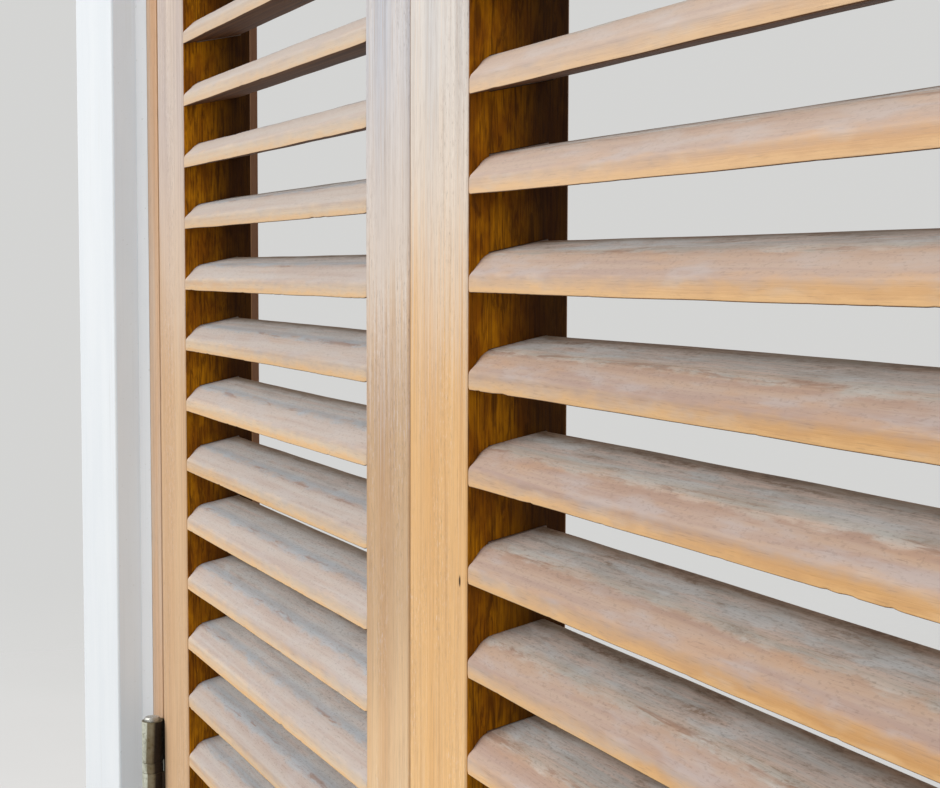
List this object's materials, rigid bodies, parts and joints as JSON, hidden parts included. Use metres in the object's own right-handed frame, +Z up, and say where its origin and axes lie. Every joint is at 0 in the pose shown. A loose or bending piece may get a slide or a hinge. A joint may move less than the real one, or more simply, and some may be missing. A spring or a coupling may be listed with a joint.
{
  "type": "louvred shutters",
  "caption": "Pair of hinged wooden louvred shutter leaves with fixed sloping slats, hung in a frame of white painted posts with wooden linings.",
  "frame": {"origin": "middle of the frame's underside, centred on its width and on the depth of its posts", "axes": "+X to the right along the wall, -Y outdoors (the faces of the leaves), +Z up"},
  "size_m": [1.245, 0.1, 1.376],
  "materials": {
    "leaf_wood": "weathered bare timber",
    "louvre_wood": "weathered bare timber with dust on top",
    "lining_wood": "oiled timber",
    "white_paint": "satin white paint on timber",
    "hinge_steel": "dull zinc",
    "rod_steel": "dull zinc",
    "bolt_steel": "dull zinc"
  },
  "bodies": {
    "frame": {"head": "white_paint", "head_lining": "lining_wood", "left_cover_bead": "white_paint", "left_lining": "lining_wood", "left_lower_bolt_keeper": "bolt_steel", "left_lower_hinge_frame_plate": "hinge_steel", "left_lower_hinge_pin": "rod_steel", "left_lower_hinge_rings": "hinge_steel", "left_post": "white_paint", "left_upper_bolt_keeper": "bolt_steel", "left_upper_hinge_frame_plate": "hinge_steel", "left_upper_hinge_pin": "rod_steel", "left_upper_hinge_rings": "hinge_steel", "right_cover_bead": "white_paint", "right_lining": "lining_wood", "right_lower_bolt_keeper": "bolt_steel", "right_lower_hinge_frame_plate": "hinge_steel", "right_lower_hinge_pin": "rod_steel", "right_lower_hinge_rings": "hinge_steel", "right_post": "white_paint", "right_upper_bolt_keeper": "bolt_steel", "right_upper_hinge_frame_plate": "hinge_steel", "right_upper_hinge_pin": "rod_steel", "right_upper_hinge_rings": "hinge_steel", "sill": "white_paint", "sill_lining": "lining_wood"},
    "left_leaf": {"left_hinge_stile": "leaf_wood", "left_meeting_stile": "leaf_wood", "left_bottom_rail": "leaf_wood", "left_top_rail": "leaf_wood", "left_louvres": "louvre_wood", "left_lower_hinge_leaf_plate": "hinge_steel", "left_upper_hinge_leaf_plate": "hinge_steel", "left_lower_bolt_case": "bolt_steel", "left_upper_bolt_case": "bolt_steel"},
    "right_leaf": {"right_hinge_stile": "leaf_wood", "right_meeting_stile": "leaf_wood", "right_bottom_rail": "leaf_wood", "right_top_rail": "leaf_wood", "right_louvres": "louvre_wood", "right_lower_hinge_leaf_plate": "hinge_steel", "right_upper_hinge_leaf_plate": "hinge_steel", "right_lower_bolt_case": "bolt_steel", "right_upper_bolt_case": "bolt_steel"},
    "left_lower_bolt": {"left_lower_bolt_rod": "rod_steel"},
    "left_upper_bolt": {"left_upper_bolt_rod": "rod_steel"},
    "right_lower_bolt": {"right_lower_bolt_rod": "rod_steel"},
    "right_upper_bolt": {"right_upper_bolt_rod": "rod_steel"}
  },
  "joints": [
    {"name": "left_leaf_swing", "type": "hinge", "parent": "frame", "child": "left_leaf", "pos_m": [-0.462, -0.0345, 0.688], "axis": [0, 0, -1], "range_deg": [0, 160]},
    {"name": "right_leaf_swing", "type": "hinge", "parent": "frame", "child": "right_leaf", "pos_m": [0.462, -0.0345, 0.688], "axis": [0, 0, 1], "range_deg": [0, 160]},
    {"name": "left_lower_bolt_throw", "type": "slide", "parent": "left_leaf", "child": "left_lower_bolt", "axis": [0, 0, -1], "range_m": [0, 0.024]},
    {"name": "left_upper_bolt_throw", "type": "slide", "parent": "left_leaf", "child": "left_upper_bolt", "axis": [0, 0, 1], "range_m": [0, 0.024]},
    {"name": "right_lower_bolt_throw", "type": "slide", "parent": "right_leaf", "child": "right_lower_bolt", "axis": [0, 0, -1], "range_m": [0, 0.024]},
    {"name": "right_upper_bolt_throw", "type": "slide", "parent": "right_leaf", "child": "right_upper_bolt", "axis": [0, 0, 1], "range_m": [0, 0.024]}
  ]
}
